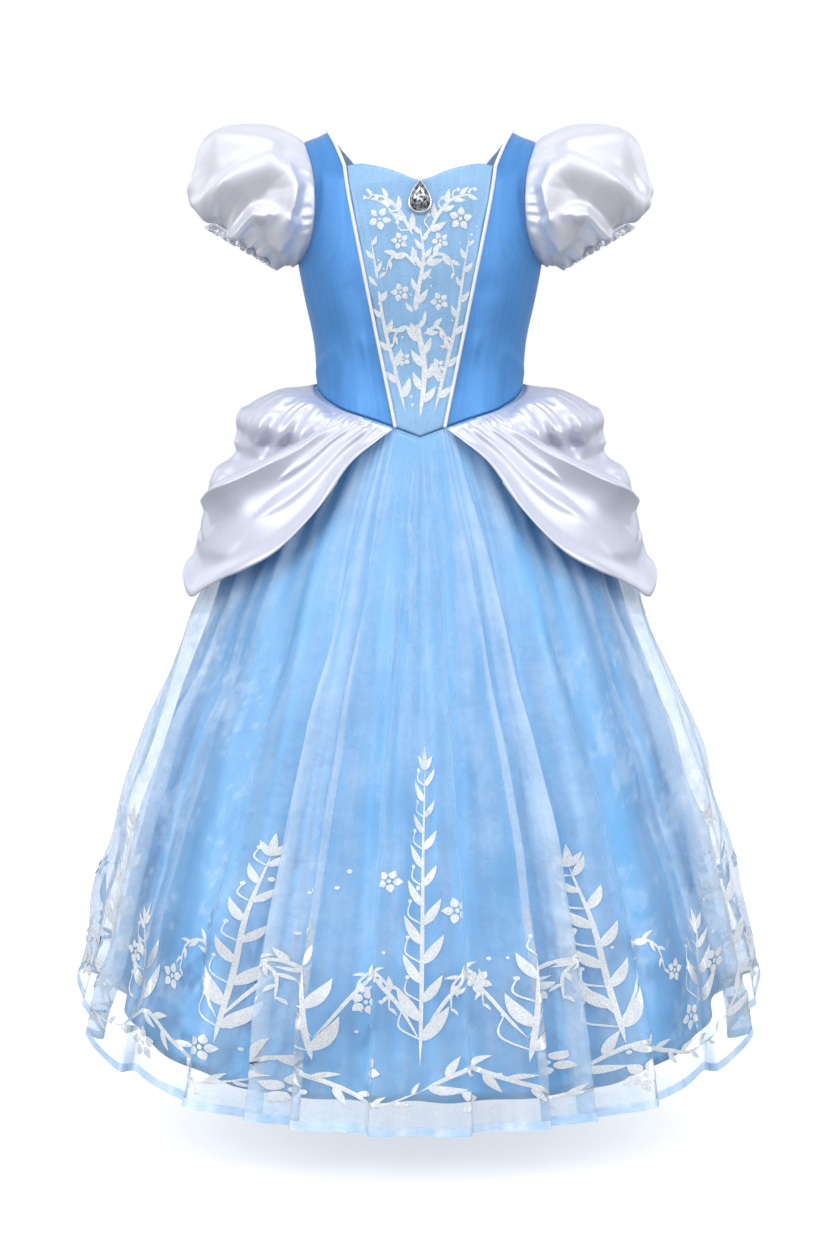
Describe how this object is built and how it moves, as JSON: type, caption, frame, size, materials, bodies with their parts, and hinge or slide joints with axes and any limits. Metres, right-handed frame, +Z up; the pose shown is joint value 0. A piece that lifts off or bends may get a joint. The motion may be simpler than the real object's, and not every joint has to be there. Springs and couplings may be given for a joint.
{
  "type": "princess costume dress",
  "caption": "Child's princess costume dress with puff sleeves, a draped hip peplum and a full two-layer skirt, filled out as if worn.",
  "frame": {"origin": "midway between the two shoulder seams, at the height of their neck ends, where the wearer carries the dress", "axes": "+Z up, the front faces -Y, and +X is the wearer's left"},
  "size_m": [0.6512, 0.5441, 0.8869],
  "materials": {
    "bodice_front_satin": "light blue satin with fine glitter",
    "bodice_satin": "blue satin",
    "underskirt_satin": "blue satin",
    "organza": "sheer pale blue organza with a silvery shimmer",
    "white_satin": "white satin",
    "white_piping": "white cord piping",
    "silver_setting": "polished silver-coloured metal",
    "clear_stone": "faceted clear stone with a mirrored back"
  },
  "bodies": {
    "root": {"front_panel": "bodice_front_satin", "side_front_left": "bodice_satin", "side_front_right": "bodice_satin", "back_left": "bodice_satin", "back_right": "bodice_satin", "back_placket": "bodice_satin", "piping_left": "white_piping", "piping_right": "white_piping", "sleeve_left": "white_satin", "sleeve_right": "white_satin", "cuff_left": "white_satin", "cuff_right": "white_satin", "peplum_left": "white_satin", "peplum_right": "white_satin", "underskirt": "underskirt_satin", "overskirt": "organza", "jewel_setting": "silver_setting", "jewel_stone": "clear_stone"}
  },
  "joints": []
}
